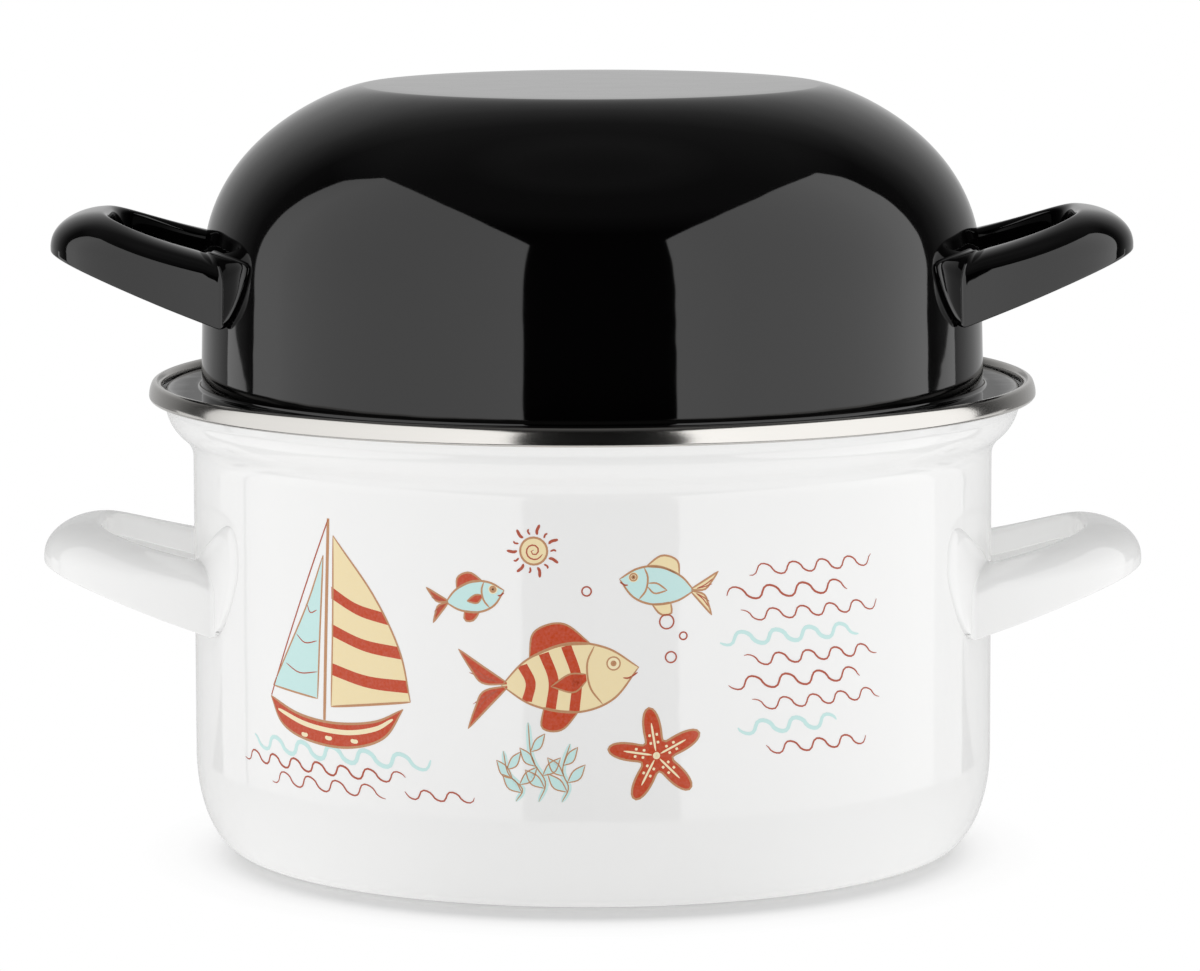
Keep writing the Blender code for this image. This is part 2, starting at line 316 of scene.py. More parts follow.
def pot_outer_outline():
    """The pot's outer face: recessed base, ring, corner, wall, flare, neck, sloping seat and lip.

    The step up from the ring to the base eases in and out: its height is a cubic of the way across it."""
    ring_outer = POT_RADIUS - BASE_CORNER_WIDTH
    ring_inner = ring_outer - BASE_RING_WIDTH
    slide = np.linspace(0, 1, BEND_STEPS + 1)
    step = np.stack([ring_inner - BASE_STEP * (1 - slide),
                     BASE_RECESS * (1 - slide * slide * (3 - 2 * slide))], -1)
    corner = arc((ring_outer, BASE_CORNER_HEIGHT), (BASE_CORNER_WIDTH, BASE_CORNER_HEIGHT),
                 -pi / 2, 0, 3 * BEND_STEPS)
    flare = bend((POT_RADIUS, 0.0), 0, FLARE_LEAN, FLARE_BEND)
    neck = bend(flare[-1], FLARE_LEAN, NECK_LEAN, NECK_BEND)
    seat = bend(onward(neck[-1], NECK_LEAN, NECK_LENGTH), NECK_LEAN, SEAT_LEAN, SEAT_BEND)
    lip = bend(onward(seat[-1], SEAT_LEAN, SEAT_LENGTH), SEAT_LEAN, 0, MOUTH_BEND)
    shoulder = join(flare, neck, seat, lip, lip[-1:] + [[0.0, MOUTH_LIP]])
    shoulder[:, 1] += POT_HIGH.z - POT_SHEET / 2 - shoulder[-1, 1]
    base = line((0.0, BASE_RECESS), step[0], steps=6)
    ring = line(step[-1], corner[0], steps=4)
    wall = line(corner[-1], shoulder[0], steps=40)
    return join(base, step, ring, corner, wall, shoulder)


def pot_outline():
    """The whole pot in section, from the inner floor's middle over the lip to the base's middle."""
    outer = pot_outer_outline()
    inner = moved_in(outer, POT_SHEET)
    inner[0, 0] = 0.0
    edge = outer[-1] - [POT_SHEET / 2, 0.0]
    return join(inner, arc(edge, (POT_SHEET / 2, POT_SHEET / 2), pi, 0), outer[::-1])


def band_outline():
    """The rolled strip over the mouth's edge in section, with both its cut edges rounded.

    The foot turns out from the pot, the face leans in slowly and the crown turns over in a tight round."""
    outside, top = BAND_HIGH.x, BAND_HIGH.z
    inside = outside - BAND_WIDTH
    belly = BAND_LOW.z + BAND_FOOT
    foot = arc((outside - BAND_FOOT, belly), (BAND_FOOT, BAND_FOOT), -BAND_FOOT_TURN, 0)
    face = arc((outside - BAND_FACE, belly), (BAND_FACE, BAND_FACE), 0, BAND_FACE_LEAN, 2 * BEND_STEPS)
    crown = (top - face[-1, 1]) / (1 - sin(BAND_FACE_LEAN))
    crown_middle = (face[-1, 0] - crown * cos(BAND_FACE_LEAN), top - crown)
    over = arc(crown_middle, (crown, crown), BAND_FACE_LEAN, pi / 2)
    roll = over[-1, 0] - inside
    turn_in = arc((over[-1, 0], top - roll), (roll, roll), pi / 2, pi, 2 * BEND_STEPS)
    drop = line(turn_in[-1], (inside, top - BAND_INNER_DEPTH), steps=2)
    front = join(foot, face, over, turn_in, drop)
    back = moved_in(front, BAND_SHEET)
    heel = arc((front[-1] + back[-1]) / 2, (BAND_SHEET / 2, BAND_SHEET / 2), -pi, 0)
    toe = line(back[0], front[0], steps=2)
    return join(front, heel[1:-1], back[::-1], toe[1:-1])


def lid_outer_outline():
    """The lid's outer face: turned-down lip, flat flange, wall, dome and flat top.

    Over the dome, radius and height are powers of the sine and cosine of one angle."""
    rim, top = LID_HIGH.x, LID_HIGH.z
    flange = LID_LOW.z + LID_LIP
    wall = rim - LID_FLANGE_WIDTH
    lip = arc((rim - LID_LIP_BEND, flange - LID_LIP_BEND), (LID_LIP_BEND, LID_LIP_BEND), 0, pi / 2)
    foot = arc((wall + LID_FLANGE_BEND, flange + LID_FLANGE_BEND), (LID_FLANGE_BEND, LID_FLANGE_BEND),
               -pi / 2, -pi)
    dome_foot = (wall - LID_WALL_DRAFT, flange + LID_WALL_HEIGHT)
    turn = pi / 2 * np.linspace(1, 0, DOME_STEPS + 1) ** DOME_CROWDING
    reach = dome_foot[0] - LID_TOP_RADIUS
    rise = top - dome_foot[1]
    dome = np.stack([LID_TOP_RADIUS + reach * np.sin(turn) ** (2 / DOME_ROUNDNESS),
                     dome_foot[1] + rise * np.cos(turn) ** (2 / DOME_FULLNESS)], -1)
    return join(line((rim, LID_LOW.z), lip[0]), lip, line(lip[-1], foot[0], steps=6), foot,
                line(foot[-1], dome_foot, steps=12), dome, line(dome[-1], (0.0, top), steps=8))


def lid_outline():
    """The whole lid in section, from the flat top's middle round the lip to the inside's middle."""
    outer = lid_outer_outline()
    inner = moved_in(outer, LID_SHEET)
    inner[-1, 0] = 0.0
    edge = (outer[0] + inner[0]) / 2
    return join(outer[::-1], arc(edge, (LID_SHEET / 2, LID_SHEET / 2), 0, -pi)[1:-1], inner)


def loop_plan(turn, root, reach, half_width, squareness):
    """A loop seen from above: half a superellipse that starts at the wall."""
    along = np.abs(np.cos(turn)) ** (2 / squareness)
    across = np.sign(np.sin(turn)) * np.abs(np.sin(turn)) ** (2 / squareness)
    return np.stack([root + (reach - root) * along, half_width * across], -1)


def strap_grid(wall, height, slope):
    """The loop's outer skin: one row of the grid for each place along the loop, and one column for each
    point from the outer leg's lower edge, over the crest and down the inner leg.

    In plan, a column lies at its own share of the way from the loop's outer edge to its finger gap. In
    height, the crest follows the slope, the outer leg hangs down to it in a straight line, and the crest is
    an elliptical round outside and a small circular one inside."""
    root = wall - STRAP_ROOT
    cut = sqrt((wall + COLLAR_CLEARANCE) ** 2 - GAP_HALF_WIDTH ** 2)
    share = ((cut - root) / (wall + GAP_REACH - root)) ** (GAP_SQUARENESS / 2)
    turn = np.linspace(-1, 1, STRAP_ROWS) * np.arccos(share)
    outer = loop_plan(turn, root, wall + STRAP_REACH, STRAP_HALF_WIDTH, STRAP_SQUARENESS)
    inner = loop_plan(turn, root, wall + GAP_REACH, GAP_HALF_WIDTH, GAP_SQUARENESS)
    width = np.hypot(*(inner - outer).T)
    crest_share = 1 - STRAP_BEND / width
    crest_x = outer[:, 0] + (inner[:, 0] - outer[:, 0]) * crest_share
    along = (crest_x - wall) / (GAP_REACH + STRAP_BEND)
    depth = STRAP_DEPTH + (BOW_DEPTH - STRAP_DEPTH) * along - 4 * STRAP_WAIST * along * (1 - along)
    crest = height + slope * (crest_x - wall) + depth
    round_height = ARM_ROUND + (BOW_ROUND - ARM_ROUND) * np.cos(turn) ** 2
    leg_foot = height + slope * (outer[:, 0] - wall)
    leg_top = crest - round_height
    leg = np.outer(leg_top - leg_foot, LEG_SHARES) + leg_foot[:, None]
    dome = leg_top[:, None] + np.outer(round_height, np.sin(OVER))
    roll = crest[:, None] - STRAP_BEND * (1 - np.cos(DOWN))
    tail = crest[:, None] - STRAP_BEND - STRAP_INNER_LEG * TAIL_SHARES
    heights = np.concatenate([leg, dome, roll, tail], 1)
    from_end = STRAP_ROWS // 2 - np.abs(np.arange(STRAP_ROWS) - STRAP_ROWS // 2)
    tuck = np.clip((from_end - TUCK_START) / TUCK_FADE, 0, 1)
    shares = np.concatenate([np.outer(tuck / width, LEG_TUCK), np.outer(crest_share, 1 - np.cos(OVER)),
                             crest_share[:, None] + np.outer(1 - crest_share, np.sin(DOWN)),
                             np.ones_like(tail)], 1)
    plan = outer[:, None] + (inner - outer)[:, None] * shares[..., None]
    return np.concatenate([plan, heights[..., None]], -1)


def collar_grid(ends, slope, wall_at):
    """The arm's end by the wall: every column runs on along its own line, then folds out in a quarter
    round until it lies along the wall. The outer leg folds sideways and the crest folds up.

    ends are the loop's last two rows, on +Y. The wall's radius depends on the height that a column folds
    to, so the two are worked out from each other a few times over."""
    before, end = ends
    leg_fold = np.full(len(LEG_SHARES), FOOT_FOLD)
    over_fold = FOOT_FOLD + (CREST_FOLD - FOOT_FOLD) * np.sin(OVER)
    tail_fold = np.zeros(len(TAIL_SHARES))
    fold = np.concatenate([leg_fold, over_fold, CREST_FOLD * np.cos(DOWN), tail_fold])
    lean = np.concatenate([np.zeros(len(LEG_SHARES)), OVER, pi / 2 + DOWN,
                           np.full(len(TAIL_SHARES), pi)])
    face = FOOT_SEAT + STRAP_SHEET
    spread = (end[:, 1] - before[:, 1]) / (end[:, 0] - before[:, 0])
    rise = np.zeros(len(end))
    rise[:len(LEG_SHARES)] = FOOT_RISE * (1 - LEG_SHARES) ** 2
    x = end[:, 0]
    for _ in range(COLLAR_ROUNDS):
        bend_x = x + FOOT_FOLD
        side = end[:, 1] + spread * (bend_x - end[:, 0])
        y = side + fold * np.cos(lean)
        z = end[:, 2] - slope * (end[:, 0] - x) + fold * np.sin(lean) + rise
        x = np.sqrt((wall_at(z) + face) ** 2 - y * y)
    start = np.stack([bend_x, side, end[:, 2] - slope * (end[:, 0] - bend_x)], -1)
    run = end + (start - end) * RUN_SHARES[:, None, None]
    turn = np.linspace(0, pi / 2, FOLD_STEPS + 1)[1:, None]
    over = 1 - np.cos(turn)
    rest = start[:, 2] - slope * (bend_x - x) * np.sin(turn)
    fold_rows = np.stack([start[:, 0] + (x - start[:, 0]) * np.sin(turn),
                          start[:, 1] + (y - start[:, 1]) * over,
                          rest + (fold * np.sin(lean) + rise) * over], -1)
    return np.concatenate([run, fold_rows])


def foot_grid(seat, shape, wall_at):
    """The flap that lies along the wall: straight rows from the collar's last row out to the flap's edge.

    shape is one foot's four measures. In the wall's development the edge climbs along one superellipse from
    the arm's lower corner to the widest place, and back along another over the crest, where it is drawn
    down to the collar at its end. The skin rounds down to the wall over the edge's width."""
    widest, top, edge, lip = shape
    leg = len(LEG_SHARES)
    seat = seat[:leg + len(OVER)]
    base = np.arctan2(seat[0, 1], seat[0, 0])
    radius = np.hypot(seat[:, 0], seat[:, 1])
    along = (np.arctan2(seat[:, 1], seat[:, 0]) - base) * radius
    low = seat[0, 2]
    turn = pi / 2 * np.linspace(FLAP_CURVE_START, 1, leg)
    lower = np.sin(turn) ** (2 / FOOT_LOW_FULLNESS)
    climb = 1 - np.cos(turn) ** (2 / FOOT_LOW_FULLNESS)
    way = np.linspace(0, 1, len(OVER) + 1)[1:]
    turn = pi / 2 * way
    back = np.cos(turn) ** (2 / FOOT_TOP_FULLNESS)
    over = np.sin(turn) ** (2 / FOOT_TOP_FULLNESS)
    out_along = np.concatenate([FOOT_LENGTH * lower, along[-1] + (FOOT_LENGTH - along[-1]) * back])
    span = widest - FOOT_RISE
    out_up = low + np.concatenate([span * climb, span + (top - widest) * over])
    corner = np.clip((way - CORNER_START) / (1 - CORNER_START), 0, 1) ** CORNER_CURVE
    out_up[leg:] -= FOOT_CORNER * corner * (out_up[leg:] - seat[leg:, 2] - FOOT_LIP)
    length = np.hypot(out_along - along, out_up - seat[:, 2])
    border = np.minimum(edge, EDGE_MOST * length)
    face = FLAP_SHARES[:, None] * (length - border)
    reach = np.concatenate([face, length - border * EDGE_SHARES[:, None]]) / length
    s = along + (out_along - along) * reach
    z = seat[:, 2] + (out_up - seat[:, 2]) * reach
    thick = np.concatenate([FLAP_THICKNESS, FLAP_RIM * (lip + (1 - lip) * EDGE_THICKNESS)])[:, None]
    r = wall_at(z) + FOOT_SEAT + STRAP_SHEET * thick
    angle = base + s / radius
    return np.stack([r * np.cos(angle), r * np.sin(angle), z], -1)


def loop_handle(name, side, height, slope, wall_at, foot_shape, finish, body, node):
    """One pressed loop handle: its outer skin, thickened inwards and smoothed; side is 1 on +X.

    The strap with a collar at each end is one grid, each flap is another, and a row of quads joins them.
    The flaps' rows thin the sheet toward their edge."""
    mirror = np.array([1, -1, 1])
    strap = strap_grid(wall_at(height), height, slope)
    collar = collar_grid(strap[-2:], slope, wall_at)
    foot = foot_grid(collar[-1], foot_shape, wall_at)
    loop = np.concatenate([(collar * mirror)[::-1], strap, collar])
    rows, across = loop.shape[:2]
    columns = foot.shape[1]
    first = rows * across
    second = first + foot[..., 0].size
    points = np.concatenate([part.reshape(-1, 3) for part in (loop, foot, foot * mirror)])
    a, b = np.arange(columns - 1), np.arange(1, columns)
    last = (rows - 1) * across
    faces = [grid_faces(rows, across), grid_faces(len(foot), columns, first),
             grid_faces(len(foot), columns, second)[:, ::-1],
             np.stack([last + a, last + b, first + b, first + a], -1),
             np.stack([a, second + a, second + b, b], -1)]
    faces = np.concatenate(faces)[:, ::-side]
    mesh = smooth_mesh(name, (points * [side, 1, 1]).tolist(), faces.tolist())
    piece = make_piece(name, mesh, finish, body, node)
    thin = piece.vertex_groups.new(name="sheet")
    thin.add(list(range(len(points))), 1.0, "REPLACE")
    for row, share in enumerate([*FLAP_THICKNESS, *(FLAP_RIM * EDGE_THICKNESS)]):
        for start in (first, second):
            thin.add(list(range(start + row * columns, start + (row + 1) * columns)),
                     max(float(share), EDGE_THINNEST), "REPLACE")
    sheet = piece.modifiers.new("Sheet", "SOLIDIFY")
    sheet.thickness = STRAP_SHEET
    sheet.offset = -1
    sheet.use_even_offset = True
    sheet.vertex_group = thin.name
    smooth = piece.modifiers.new("Smooth", "SUBSURF")
    smooth.levels = SMOOTH_LEVELS
    smooth.render_levels = SMOOTH_LEVELS
    return piece


def math_operator(operation, reflected=False):
    """An operator that adds a Math node, with the value in first place or, reflected, in second."""
    def apply(value, other):
        first, second = (other, value) if reflected else (value, other)
        return value.finish.node("Math", {"operation": operation}, {0: first, 1: second})
    return apply


class Value:
    """A node's output that can stand in sums, products and powers."""

    __add__ = __radd__ = math_operator("ADD")
    __sub__ = math_operator("SUBTRACT")
    __rsub__ = math_operator("SUBTRACT", reflected=True)
    __mul__ = __rmul__ = math_operator("MULTIPLY")
    __truediv__ = math_operator("DIVIDE")
    __rtruediv__ = math_operator("DIVIDE", reflected=True)
    __pow__ = math_operator("POWER")

    def __init__(self, finish, socket):
        self.finish = finish
        self.socket = socket

    def clipped(self):
        """This value kept between 0 and 1."""
        return self.finish.node("Clamp", {}, {"Value": self})


class Finish:
    """The nodes of one material or of the world's light."""

    def __init__(self, owner):
        owner.use_nodes = True
        self.owner = owner
        self.tree = owner.node_tree

    def node(self, kind, settings=None, values=None, output=0):
        """Make a node, set it, then feed its sockets with numbers, colours or other nodes' values."""
        made = self.tree.nodes.new("ShaderNode" + kind)
        for name, setting in (settings or {}).items():
            if name == "stops":
                self.set_stops(made.color_ramp, setting)
            else:
                setattr(made, name, setting)
        self.feed(made, values or {})
        return None if output is None else Value(self, made.outputs[output])

    def feed(self, node, values):
        """Link or set a node's sockets by their names or numbers."""
        for name, value in values.items():
            if isinstance(value, Value):
                self.tree.links.new(value.socket, node.inputs[name])
            else:
                node.inputs[name].default_value = value

    def set_stops(self, ramp, stops):
        """Give a colour ramp its grey levels, each at its place."""
        while len(ramp.elements) < len(stops):
            ramp.elements.new(1.0)
        for element, (place, level) in zip(ramp.elements, stops):
            element.position = place
            element.color = (level, level, level, 1)

    def ramp(self, value, *stops):
        """A level that runs straight from stop to stop as a value climbs from 0 to 1."""
        return self.node("ValToRGB", {"stops": stops}, {"Fac": value})

    def surface(self, shader):
        """Make a shader the material's surface, in place of the one it came with."""
        self.node("OutputMaterial", {"is_active_output": True}, {"Surface": shader}, output=None)

    def place(self):
        """Object coordinates, which are the frame's own metres."""
        return self.node("TexCoord", output="Object")

    def parts(self, vector):
        """A vector's X, Y and Z as values."""
        split = self.node("SeparateXYZ", {}, {0: vector}).socket.node
        return [Value(self, split.outputs[k]) for k in range(3)]

    def rays(self, *kinds):
        """For each kind of ray a value that is 1 on such a ray and 0 on others."""
        paths = self.node("LightPath").socket.node
        return [Value(self, paths.outputs["Is " + kind + " Ray"]) for kind in kinds]

    def vector(self, x, y, z):
        """A vector from three values."""
        return self.node("CombineXYZ", {}, {0: x, 1: y, 2: z})

    def noise(self, vector, scale, detail):
        """A cloudy level round a half, with some octaves of finer clouds."""
        return self.node("TexNoise", {}, {"Vector": vector, "Scale": scale, "Detail": detail})

    def mix(self, share, first, second):
        """A colour between two, by a share."""
        made = self.node("Mix", {"data_type": "RGBA"}, {"Factor": share}, output=2)
        self.feed(made.socket.node, {6: first, 7: second})
        return made

    def bump(self, height, distance):
        """Normals of a surface that rises by a distance where the height climbs from 0 to 1."""
        return self.node("Bump", {}, {"Height": height, "Distance": distance})


# Surfaces: their colours, the fineness of their patterns, per metre, and how high these stand
ENAMEL_WHITE = (0.87, 0.87, 0.865)
ENAMEL_BLACK = (0.0010, 0.0009, 0.0010)
STEEL_GREY = (0.585, 0.57, 0.545)
ENAMEL_WAVE = 90.0
WHITE_RIPPLE = 0.00006
BLACK_RIPPLE = 0.00004
INK_CLOUD = 1500.0
INK_CLOUD_LOW = 0.25
INK_CLOUD_CONTRAST = 2.2
INK_PALE = 0.06
INK_GLOSS = 0.2
LINES_ROUND = 25.0
LINES_ACROSS = 9000.0
LINES_DEPTH = 0.000004


def plain_finish(name, colour, roughness):
    """A new material's nodes and its shader, in one colour and with one roughness."""
    material = bpy.data.materials.new(name)
    finish = Finish(material)
    shader = finish.tree.nodes["Principled BSDF"]
    finish.feed(shader, {"Base Color": (*colour, 1), "Roughness": roughness})
    return finish, shader


def enamel(name, colour, roughness, ripple):
    """Glassy fired enamel, which never lies quite flat: one broad noise bends its mirror."""
    finish, shader = plain_finish(name, colour, roughness)
    wave = finish.noise(finish.place(), ENAMEL_WAVE, detail=1.0)
    finish.feed(shader, {"Normal": finish.bump(wave, ripple)})
    return finish.owner


def white_enamel():
    """The pot's and its handles' enamel."""
    return enamel("white_enamel", ENAMEL_WHITE, roughness=0.06, ripple=WHITE_RIPPLE)


def black_enamel():
    """The lid's and its handles' enamel, a little sharper as a mirror."""
    return enamel("black_enamel", ENAMEL_BLACK, roughness=0.045, ripple=BLACK_RIPPLE)


def print_ink(name, colour):
    """Fired ink, duller than the enamel and a little uneven in strength as it was laid on."""
    finish, shader = plain_finish("print_" + name, colour, roughness=0.22)
    finish.feed(shader, {"Specular IOR Level": INK_GLOSS})
    cloud = finish.noise(finish.place(), INK_CLOUD, detail=3.0)
    pale = tuple(share + (ENAMEL_WHITE[0] - share) * INK_PALE for share in colour)
    strength = ((cloud - INK_CLOUD_LOW) * INK_CLOUD_CONTRAST).clipped()
    finish.feed(shader, {"Base Color": finish.mix(strength, (*pale, 1), (*colour, 1))})
    return finish.owner


def band_steel():
    """Polished steel with fine lines turned round it.

    The lines are a noise drawn out round the band and packed tight across it, by height less radius."""
    finish, shader = plain_finish("rim_steel", STEEL_GREY, roughness=0.13)
    x, y, z = finish.parts(finish.place())
    radius = (x * x + y * y) ** 0.5
    across = (z - radius) * LINES_ACROSS
    lines = finish.noise(finish.vector(x * LINES_ROUND, y * LINES_ROUND, across), 1.0, detail=2.0)
    finish.feed(shader, {"Metallic": 1.0, "Normal": finish.bump(lines, LINES_DEPTH)})
    return finish.owner


def lid_wall_at(height):
    """Radius of the lid's outer face at heights over its wall and dome, by the dome's own formula."""
    climb = height - LID_LOW.z - LID_LIP
    wall = LID_HIGH.x - LID_FLANGE_WIDTH
    rise = LID_HIGH.z - LID_LOW.z - LID_LIP - LID_WALL_HEIGHT
    share = np.clip((climb - LID_WALL_HEIGHT) / rise, 0, 1)
    turn = np.arccos(share ** (DOME_FULLNESS / 2))
    reach = wall - LID_WALL_DRAFT - LID_TOP_RADIUS
    dome = LID_TOP_RADIUS + reach * np.sin(turn) ** (2 / DOME_ROUNDNESS)
    return np.where(climb < LID_WALL_HEIGHT, wall - LID_WALL_DRAFT * climb / LID_WALL_HEIGHT, dome)


def pot_wall_at(height):
    """Radius of the pot's straight wall at any height."""
    return np.full(np.shape(height), POT_RADIUS)


# Print on the pot's front: each ink's colour, and how far in metres it stands off the wall
INKS = {
    "cream": ((0.85, 0.71, 0.42), 0.000035),
    "aqua": ((0.55, 0.78, 0.76), 0.000040),
    "red": ((0.52, 0.055, 0.012), 0.000050),
    "brown": ((0.50, 0.25, 0.12), 0.000062),
    "pen": ((0.42, 0.075, 0.035), 0.000062),
    "light": ((0.87, 0.76, 0.50), 0.000058),
}
INK_SINK = 0.00002
RIM_ANGLE = radians(35)
MM_PER_METRE = 1000
INK_STEP_MM = 0.9
CLOSED_STEPS = 25
OPEN_STEPS = 9
FILM_CORE = 0.04

# Waves: how high they swing, how much steeper their crests are and how far they lean, as shares of the way
# from crest to crest, and the spacing of their points
WAVE_SWING = 0.16
WAVE_STEEPER = 0.03
WAVE_LEAN = 0.05
WAVE_STEP_MM = 0.8

# Each wave: from where to where along the wall, at what height, from crest to crest, in which ink, how wide
# a line, and how far along its first crest
WAVES = ((-97, -39, 35.6, 10, "aqua", 1.1, 0.0), (-101, -46, 31.6, 8, "pen", 0.5, 0.3),
         (-89, -52, 27.6, 9, "pen", 0.4, 0.6), (-47, -28, 27.8, 7, "pen", 0.4, 0.1),
         (38, 74, 82.0, 8, "pen", 0.40, 0.0), (32, 66, 76.6, 9, "pen", 0.50, 0.4),
         (36, 76, 71.2, 8, "pen", 0.40, 0.7), (31, 69, 65.8, 9, "aqua", 1.00, 0.2),
         (37, 75, 60.4, 8, "pen", 0.45, 0.5), (33, 70, 55.0, 9, "pen", 0.50, 0.9),
         (39, 76, 49.6, 8, "pen", 0.40, 0.3), (35, 63, 44.2, 9, "aqua", 1.00, 0.6),
         (42, 72, 38.8, 8, "pen", 0.45, 0.1))


def smooth(knots, closed=False, steps=10):
    """A curve through the knots: a Catmull-Rom spline with some steps from each knot to the next."""
    knots = np.array(knots, float)
    if closed:
        lead, tail = knots[-1:], knots[:2]
    else:
        lead, tail = 2 * knots[:1] - knots[1:2], 2 * knots[-1:] - knots[-2:-1]
    ring = np.concatenate([lead, knots, tail])
    before, here, after, beyond = (ring[i:len(ring) - 3 + i, None] for i in range(4))
    t = (np.arange(steps) / steps)[:, None]
    curve = here + 0.5 * t * (after - before + t * (2 * before - 5 * here + 4 * after - beyond
                                                    + t * (3 * (here - after) + beyond - before)))
    curve = curve.reshape(-1, 2)
    return curve if closed else np.concatenate([curve, knots[-1:]])


def evenly(curve, count):
    """The curve with its points spread evenly by length."""
    length = np.concatenate([[0], np.cumsum(steps_along(curve))])
    where = np.linspace(0, length[-1], count)
    return np.stack([np.interp(where, length, curve[:, 0]), np.interp(where, length, curve[:, 1])], -1)


def length_of(curve):
    """The sum of the distances along a curve."""
    return steps_along(curve).sum()


class Print:
    """Thin films of ink on the wall. Motifs are drawn in mm along the wall and up, and kept by ink."""

    def __init__(self):
        self.films = {ink: [] for ink in INKS}
        self.origin = np.zeros(2)
        self.frame = np.eye(2)

    def at(self, origin, size=1.0, turn=0.0, mirror=1):
        """Draw what follows from this place, at this size, turned by this angle in degrees."""
        c, s = cos(radians(turn)), sin(radians(turn))
        self.origin = np.array(origin, float)
        self.frame = size * np.array([[c, s], [-s, c]]) * [[mirror], [1]]

    def size(self):
        """How much larger than drawn things come out."""
        return sqrt(abs(np.linalg.det(self.frame)))

    def film(self, ink, grid, closed=False):
        """One film from a grid of points: its face, its back just under the surface, and its rim.

        Distance along the wall becomes an angle round it, so that nothing is stretched."""
        rows, columns = grid.shape[:2]
        flat = self.origin + grid @ self.frame
        flat = np.concatenate([flat, flat[:, ::-1]], 1) / MM_PER_METRE
        lift = np.repeat([INKS[ink][1], -INK_SINK], columns)
        angle = flat[..., 0] / POT_RADIUS
        r = POT_RADIUS + lift
        points = np.stack([r * np.sin(angle), -r * np.cos(angle), flat[..., 1]], -1).reshape(-1, 3)
        faces = [grid_faces(rows, 2 * columns, 0, closed, True)]
        if not closed:
            a = np.arange(columns - 1)
            cap = np.stack([a, a + 1, 2 * columns - 2 - a, 2 * columns - 1 - a], -1)
            faces += [cap[:, ::-1], cap + (rows - 1) * 2 * columns]
        faces = np.concatenate(faces)
        face = flat[:, :columns]
        along = (np.roll(face, -1, 0) - face)[:rows - 1, :-1]
        aside = (face[:, 1:] - face[:, :-1])[:rows - 1]
        if (along[..., 0] * aside[..., 1] - along[..., 1] * aside[..., 0]).sum() > 0:
            faces = faces[:, ::-1]
        self.films[ink].append((points, faces))

    def stroke(self, ink, knots, width, closed=False, ends=0.3):
        """A pen line along a curve, thinner towards its ends unless it closes."""
        curve = smooth(knots, closed)
        if closed:
            curve = np.concatenate([curve, curve[:1]])
        size = self.size()
        fewest = CLOSED_STEPS if closed else OPEN_STEPS
        count = max(fewest, int(length_of(curve) * size / INK_STEP_MM) + 2)
        curve = evenly(curve, count)
        if closed:
            curve = curve[:-1]
            along = np.roll(curve, -1, 0) - np.roll(curve, 1, 0)
            share = np.ones(len(curve))
        else:
            along = np.gradient(curve, axis=0)
            place = np.linspace(-1, 1, count)
            share = ends + (1 - ends) * np.sqrt(1 - place ** 4)
        aside = np.stack([-along[:, 1], along[:, 0]], -1) / np.hypot(*along.T)[:, None]
        half = aside * (width / size / 2 * share)[:, None]
        self.film(ink, np.stack([curve + half, curve - half], 1), closed)

    def patch(self, ink, first, second):
        """A flat of ink between two curves."""
        first, second = smooth(first), smooth(second)
        size = self.size()
        count = int(max(length_of(first), length_of(second)) * size / INK_STEP_MM) + 3
        first, second = evenly(first, count), evenly(second, count)
        gap = np.hypot(*(second - first).T).max() * size
        share = np.linspace(0, 1, int(gap / INK_STEP_MM) + 2)[:, None]
        self.film(ink, first[:, None] + (second - first)[:, None] * share)

    def outlined(self, ink, first, second, width=0.45, line="brown"):
        """A patch with a pen line along both its edges."""
        self.patch(ink, first, second)
        self.stroke(line, first, width)
        self.stroke(line, second, width)

    def ring(self, ink, radius, width, knots=10):
        """A pen line round a circle."""
        self.stroke(ink, radius * round_way(knots), width, closed=True)

    def disc(self, ink, rim, rings):
        """A flat of ink inside a rim, in rings that shrink to its middle."""
        self.film(ink, rim[:, None] * np.linspace(FILM_CORE, 1, rings)[:, None], True)

    def pieces(self):
        """One mesh for each ink."""
        for ink, films in self.films.items():
            starts = np.cumsum([0] + [len(points) for points, faces in films])
            points = np.concatenate([points for points, faces in films])
            faces = [film[1] + start for film, start in zip(films, starts)]
            mesh = make_mesh("print_" + ink, points, faces)
            mesh.set_sharp_from_angle(angle=RIM_ANGLE)
            make_piece("print_" + ink, mesh, print_ink(ink, INKS[ink][0]), "pot")


